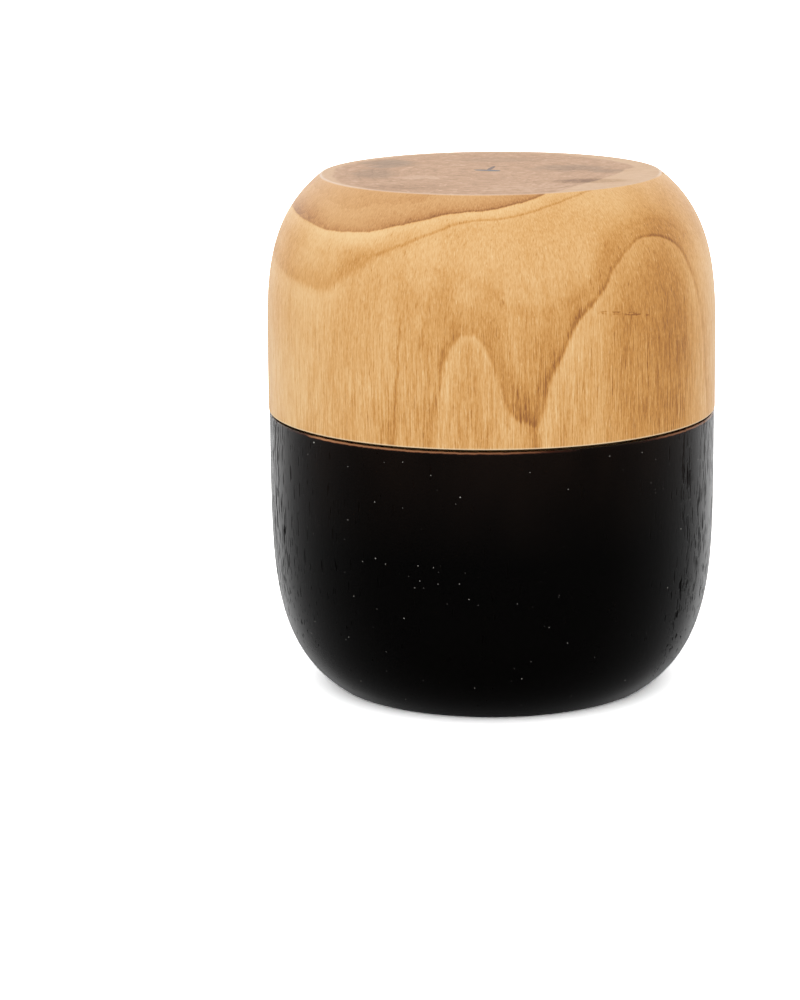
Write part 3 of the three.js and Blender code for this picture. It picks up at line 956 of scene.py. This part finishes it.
def blackenedWood(name, rimTop):
    material, tree, shader = newMaterial(name)
    coords = objectCoords(tree)
    place = trunkPlace(tree, coords, rimTop)
    below = times(tree, place["height"], -1.0)
    ragged = timesPlus(tree, noise(tree, coords, *stain["ragged"]), stain["raggedBy"], below)
    wornAndLit = times(tree, remap(tree, ragged, *stain["rubbedFrom"]), remap(tree, ragged, *stain["rubbedTo"]))
    inwards = minus(tree, lowerBowl["rimRadius"], place["radius"])
    wornAndLit = times(tree, wornAndLit, remap(tree, inwards, *stain["rubbedOuter"]))
    # painted highlight: round the bowl the brown shows most where the light catches the arris
    wornAndLit = times(tree, wornAndLit, roundCurve(tree, place, stain["rubbedAndLit"]))
    warm = noise(tree, coords, *stain["warmCloud"])
    warm = times(tree, remap(tree, below, *stain["warmFade"]), warm)
    colour = mixColour(tree, warm, fromScreen(*stain["black"]), fromScreen(*stain["warm"]))
    fringe = remap(tree, wornAndLit, *stain["fringe"])
    colour = mixColour(tree, fringe, colour, fromScreen(*stain["brownEdge"]))
    colour = mixColour(tree, remap(tree, wornAndLit, *stain["bare"]), colour, fromScreen(*stain["brown"]))

    # dust: specks of two sizes, each in its own cell of the pattern, more of them where it has gathered
    gathered = remap(tree, noise(tree, coords, *stain["dustCloud"]), *stain["dustCloudFade"])
    for spot in stain["dusty"]:
        gathered = plus(tree, gathered, patchAmount(tree, place, spot))
    for apart, share, bright, half in stain["specks"]:
        cell, kind = cells(tree, coords, (apart, apart, apart))
        speck = remap(tree, cell, half / apart, (half + stain["speckBlur"]) / apart, 1.0, 0.0)
        few = calc(tree, "LESS_THAN", kind[0], timesPlus(tree, gathered, share, stain["speckLeast"]))
        strength = times(tree, calc(tree, "POWER", kind[1], stain["speckUneven"]), bright)
        dust = times(tree, times(tree, speck, few), strength)
        colour = mixColour(tree, dust, colour, fromScreen(*stain["dustColour"]))
    feed(tree, shader.inputs["Base Color"], colour)

    # open pores: short grooves up the grain without any gloss, crowded in bands
    crowd = roundCurve(tree, place, stain["crowded"])
    wider = remap(tree, crowd, *stain["poreWider"])
    cloud = remap(tree, noise(tree, coords, *stain["crowdCloud"]), *stain["crowdCloudFade"])
    crowd = times(tree, crowd, cloud)
    crowd = times(tree, crowd, remap(tree, place["height"], *stain["crowdLow"]))
    narrowest, widest = stain["poreWidth"]
    groove = 0.0
    for width, length in stain["pores"]:
        cell, kind = cells(tree, coords, (width, width, length))
        reach = timesPlus(tree, kind[1], widest - narrowest, narrowest)
        cut = minus(tree, times(tree, reach, wider), cell)
        cut = remap(tree, cut, 0.0, stain["poreSide"])
        cut = times(tree, cut, calc(tree, "LESS_THAN", kind[0], crowd))
        groove = calc(tree, "MAXIMUM", groove, cut)
    feed(tree, shader.inputs["Coat Weight"], minus(tree, 1.0, groove))
    fibre = times(tree, noise(tree, coords, *stain["fibres"]), stain["fibreHeight"])
    surface = timesPlus(tree, groove, -1.0, fibre)
    addBump(tree, shader, surface, stain["bump"], ("Normal", "Coat Normal"))
    shader.inputs["Roughness"].default_value = stain["roughness"]
    shader.inputs["Specular IOR Level"].default_value = stain["specular"]
    shader.inputs["Coat Roughness"].default_value = stain["coatRoughness"]
    shader.inputs["Coat IOR"].default_value = stain["coatIor"]
    return material


def pithFilling(name):
    material, tree, shader = newMaterial(name)
    coords = objectCoords(tree)
    back = minus(tree, splitVector(tree, coords)[1], pith["place"][1])
    back = timesPlus(tree, ripple(tree, coords, pith["crackUneven"]), pith["crackUnevenBy"], back)
    crack = remap(tree, back, *pith["crack"], smooth=True)
    mottle = noise(tree, coords, *pith["grain"])
    darker, lighter = [fromScreen(*grey) for grey in pith["greys"]]
    body = mixColour(tree, remap(tree, mottle, *pith["greyFade"]), darker, lighter)
    colour = mixColour(tree, crack, body, fromScreen(*pith["crackColour"]))
    feed(tree, shader.inputs["Base Color"], colour)
    feed(tree, shader.inputs["Roughness"], remap(tree, mottle, *pith["roughness"]))
    addBump(tree, shader, mottle, pith["bump"])
    return material


upper.data.materials.append(naturalWood("natural_wood", upperBowl["rimBottom"]))
filling.data.materials.append(pithFilling("pith_filling"))

# The lower bowl is natural wood inside and on its lip

bareInside = {
    "figureFrom": 0.0,                 # the height that its figure is told from
    "figureTurned": 140.0,             # degrees
    "skin": 0.004,                     # how far in from the outside the stain ends
    "aboveFoot": 0.005,
    "withinRadius": 0.0935,            # the rim's top is stained out from here
    "aboveRim": 0.0001,
}
lower.data.materials.append(blackenedWood("blackened_wood", lowerBowl["rimTop"]))
lower.data.materials.append(naturalWood("natural_wood_inside", bareInside["figureFrom"],
                                        bareInside["figureTurned"]))
for face in lower.data.polygons:
    middle = face.center
    radius = math.hypot(middle.x, middle.y)
    shell = outsideRadius(lowerBowl, max(0.0, lowerBowl["rimTop"] - middle.z)) - bareInside["skin"]
    isLip = middle.z > lowerBowl["rimTop"] + bareInside["aboveRim"]
    isHollow = middle.z > bareInside["aboveFoot"] and radius < min(shell, bareInside["withinRadius"])
    face.material_index = int(isLip or isHollow)
print("materials made")


# Stage, light and camera

studio = {
    "floorSize": 9.0,
    "floorHeight": -0.0002,
    "floorWhite": 2.6,                 # seen by the camera
    "floorBounce": 0.8,                # what it gives back to the bowls
    "ambient": 1.26,
    "ambientAbove": 0.84,
    "keyPower": 6.0,
    "keySize": 2.4,
    "keyPlace": (-0.4, -2.5, 1.3),
    "keyAim": (0, 0, 0.1),
    "reflected": [                     # from 0 at the front to 1 at the back, how bright
        (0.0, 0.02), (0.30, 0.02), (0.55, 0.12), (0.72, 0.30), (0.82, 0.56), (0.865, 1.1), (0.915, 1.5),
        (0.97, 1.5), (0.985, 1.1), (1.0, 1.0),
    ],
    "reflectedBelow": 0.6,             # share of that which shines from under the horizon
    "horizon": (-0.35, 0.02),
    "reflectedNear": [                 # metres from the axis, share that the floor's shadow leaves
        (0.0, 0.02), (0.062, 0.05), (0.070, 0.14), (0.078, 0.42), (0.112, 0.72), (0.137, 0.92),
        (0.160, 1.0),
    ],
}
cameraPlace = {
    "distance": 1.535,
    "elevation": 11.18,
    "focal": 3414,                     # in the picture's own pixels, as the aim is
    "aim": (91.9, 95.3),
    "roll": -0.3,
    "pictureHeight": 1000,
    "sensor": 36,
    "clip": (0.05, 50),
}


def diffuse(tree, level):
    node = tree.nodes.new("ShaderNodeBsdfDiffuse")
    node.inputs["Color"].default_value = (level, level, level, 1.0)
    return node.outputs[0]


def mixShader(tree, factor, first, second):
    node = tree.nodes.new("ShaderNodeMixShader")
    for socket, value in zip(node.inputs, (factor, first, second)):
        feed(tree, socket, value)
    return node.outputs[0]


def makeFloor():
    bpy.ops.object.select_all(action="DESELECT")
    bpy.ops.mesh.primitive_plane_add(size=studio["floorSize"], location=(0, 0, studio["floorHeight"]))
    floor = bpy.context.object
    floor.name = "floor"
    bpy.ops.object.transform_apply(location=True, rotation=False, scale=False)
    material, tree, shader = newMaterial("paper_floor")
    tree.nodes.remove(shader)
    rays = tree.nodes.new("ShaderNodeLightPath")
    paper = mixShader(tree, rays.outputs["Is Camera Ray"], diffuse(tree, studio["floorBounce"]),
                      diffuse(tree, studio["floorWhite"]))

    # in the bowls' gloss the floor is dark near them, where their shadow lies, and lets the studio through
    x, y, z = splitVector(tree, objectCoords(tree))
    farthest = studio["reflectedNear"][-1][0]
    shadowLeaves = curve(tree, remap(tree, lengthOf(tree, x, y), 0.0, farthest),
                         [(metres / farthest, share) for metres, share in studio["reflectedNear"]])
    through = tree.nodes.new("ShaderNodeBsdfTransparent").outputs[0]
    mirrored = mixShader(tree, shadowLeaves, diffuse(tree, 0.0), through)
    output = next(node for node in tree.nodes if node.type == "OUTPUT_MATERIAL")
    feed(tree, output.inputs["Surface"], mixShader(tree, rays.outputs["Is Glossy Ray"], paper, mirrored))
    floor.data.materials.append(material)


def makeWorld():
    world = bpy.data.worlds.new("studio")
    bpy.context.scene.world = world
    world.use_nodes = True
    world.cycles.sampling_method = "NONE"
    tree = world.node_tree
    background = next(node for node in tree.nodes if node.type == "BACKGROUND")
    x, y, z = splitVector(tree, tree.nodes.new("ShaderNodeTexCoord").outputs["Generated"])
    gloss = ramp(tree, remap(tree, y, -1.0, 1.0),
                 [(place, (level, level, level, 1.0)) for place, level in studio["reflected"]])
    down = remap(tree, z, *studio["horizon"], studio["reflectedBelow"], 1.0)
    gloss = mixColour(tree, 1.0, gloss, down, "MULTIPLY")
    rays = tree.nodes.new("ShaderNodeLightPath")
    ambient = remap(tree, z, 0.0, 1.0, studio["ambient"], studio["ambientAbove"])
    strength = mixColour(tree, rays.outputs["Is Glossy Ray"], ambient, gloss)
    strength = mixColour(tree, rays.outputs["Is Camera Ray"], strength, (1.0, 1.0, 1.0, 1.0))
    feed(tree, background.inputs["Color"], strength)


def makeKey():
    data = bpy.data.lights.new("key", "AREA")
    key = bpy.data.objects.new("key", data)
    bpy.context.scene.collection.objects.link(key)
    data.energy = studio["keyPower"]
    data.size = studio["keySize"]
    key.location = studio["keyPlace"]
    key.rotation_mode = "QUATERNION"
    key.rotation_quaternion = (Vector(studio["keyAim"]) - key.location).to_track_quat("-Z", "Y")
    key.visible_glossy = False


def makeCamera():
    target = Vector((0, 0, upperBox[0].z))
    focal = cameraPlace["focal"]
    elevation = math.radians(cameraPlace["elevation"])
    back = Vector((0, -math.cos(elevation), math.sin(elevation)))
    data = bpy.data.cameras.new("camera")
    camera = bpy.data.objects.new("camera", data)
    bpy.context.scene.collection.objects.link(camera)
    data.sensor_width = cameraPlace["sensor"]
    data.lens = focal * cameraPlace["sensor"] / cameraPlace["pictureHeight"]
    data.clip_start, data.clip_end = cameraPlace["clip"]
    camera.location = target + back * cameraPlace["distance"]
    right, up = cameraPlace["aim"]
    turn = Quaternion((0, 1, 0), math.atan(right / focal))
    tilt = Quaternion((1, 0, 0), -math.atan(up / focal))
    roll = Quaternion((0, 0, 1), math.radians(cameraPlace["roll"]))
    camera.rotation_mode = "QUATERNION"
    camera.rotation_quaternion = (-back).to_track_quat("-Z", "Y") @ turn @ tilt @ roll
    bpy.context.scene.camera = camera


makeFloor()
makeWorld()
makeKey()
makeCamera()
print("stage, light and camera set")

for piece, body, node, slot in [
    (lower, "lower", "lower_bowl", "blackened_wood"),
    (upper, "upper", "upper_bowl", "natural_wood"),
    (filling, "upper", "pith_filling", "pith_filling"),
]:
    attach(piece, body)
    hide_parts(node)
